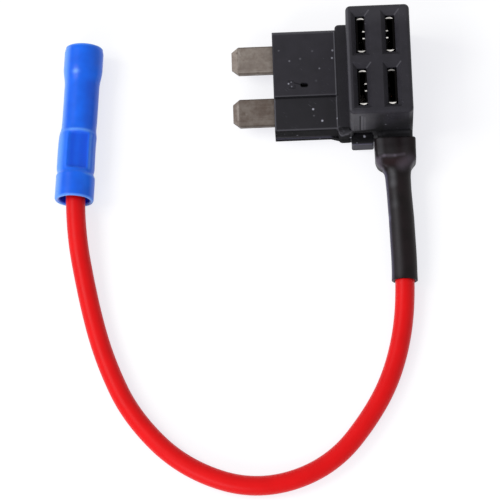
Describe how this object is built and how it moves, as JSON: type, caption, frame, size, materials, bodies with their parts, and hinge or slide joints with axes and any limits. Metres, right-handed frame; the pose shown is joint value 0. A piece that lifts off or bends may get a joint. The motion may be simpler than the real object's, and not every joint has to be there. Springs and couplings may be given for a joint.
{
  "type": "blade fuse tap",
  "caption": "Right-angle add-a-circuit fuse tap: moulded black body with two blades, slots for fuses, and a red lead that ends in a blue butt splice.",
  "frame": {"origin": "flat back, at the stop shoulder, midway across the blade block", "axes": "+X from the blades towards the fuse head, +Y along the blades' widths away from the lead outlet, +Z out of the back towards the fuse slots"},
  "size_m": [0.062, 0.0821, 0.0144],
  "materials": {
    "housing_nylon": "black moulded nylon, fine satin",
    "cover_nylon": "black moulded nylon, fine satin",
    "blade_plating": "dull zinc plating, lengthwise rolled",
    "contact_tin": "bright tin plating",
    "rivet_brass": "plain brass",
    "copper": "bare stranded copper",
    "red_insulation": "red extruded vinyl, satin",
    "shrink_tube": "black heat-shrink tube, soft sheen",
    "blue_sleeve": "blue vinyl sleeve, soft gloss",
    "barrel_tin": "tin-plated copper barrel"
  },
  "bodies": {
    "root": {"housing": "housing_nylon", "rear_cover": "cover_nylon", "feed_blade": "blade_plating", "load_blade": "blade_plating", "twin_contact": "contact_tin", "load_contact": "contact_tin", "wire_terminal": "contact_tin", "feed_rivet": "rivet_brass", "load_rivet": "rivet_brass", "terminal_strands": "copper", "wire": "red_insulation", "heat_shrink": "shrink_tube", "splice_sleeve": "blue_sleeve", "splice_barrel": "barrel_tin", "splice_strands": "copper"}
  },
  "joints": []
}
